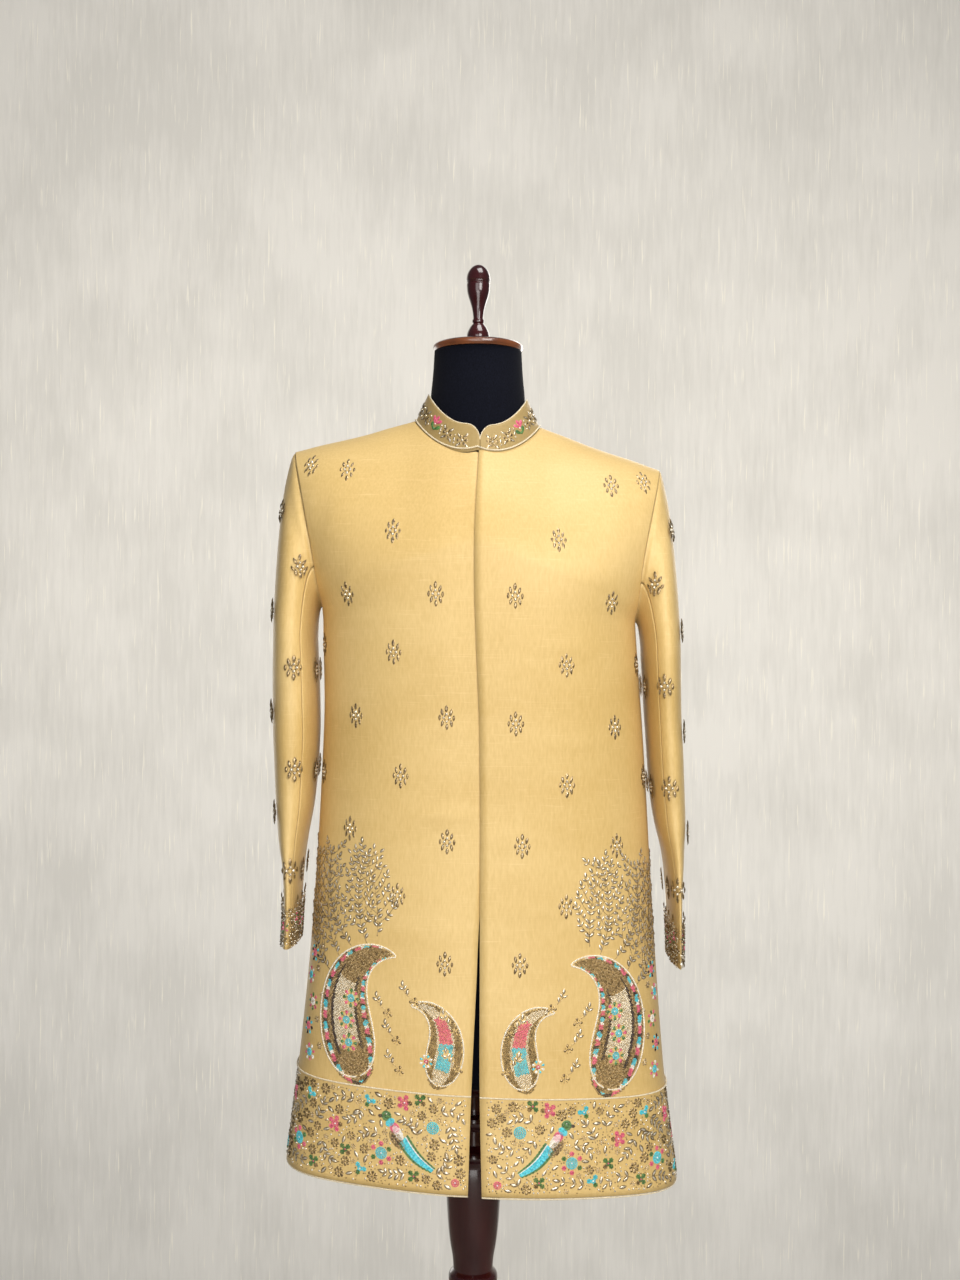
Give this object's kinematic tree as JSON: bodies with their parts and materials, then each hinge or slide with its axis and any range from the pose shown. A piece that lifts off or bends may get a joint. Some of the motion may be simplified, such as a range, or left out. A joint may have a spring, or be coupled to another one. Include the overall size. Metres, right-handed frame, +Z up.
{
  "type": "sherwani coat on a limbless dress form",
  "caption": "Knee-length band-collar coat with long sleeves and an embroidered hem border, standing on a limbless dress form with a turned wooden post and round base.",
  "frame": {"origin": "middle of the round base's underside, on the floor", "axes": "+Z up, -Y towards the coat's front, +X towards the wearer's left"},
  "size_m": [0.5483, 0.3762, 1.63],
  "materials": {
    "silk": "mustard gold raw silk with a satin sheen and fine slubs",
    "trim_cord": "pale cream twisted cord",
    "embroidery": "antique gold and silver beads and coloured thread",
    "jersey": "matte black knit jersey",
    "dark_wood": "glossy dark mahogany lacquer",
    "rim_wood": "glossy amber brown lacquer"
  },
  "bodies": {
    "root": {"front_left": "silk", "front_right": "silk", "back": "silk", "sleeve_left_upper": "silk", "sleeve_left_under": "silk", "sleeve_right_upper": "silk", "sleeve_right_under": "silk", "collar": "silk", "collar_piping": "trim_cord", "border_cord_left": "trim_cord", "border_cord_right": "trim_cord", "border_cord_back": "trim_cord", "hem_piping_left": "trim_cord", "hem_piping_right": "trim_cord", "hem_piping_back": "trim_cord", "form_torso": "jersey", "neck_cap": "rim_wood", "finial": "dark_wood", "post": "dark_wood", "base": "dark_wood"}
  },
  "joints": []
}
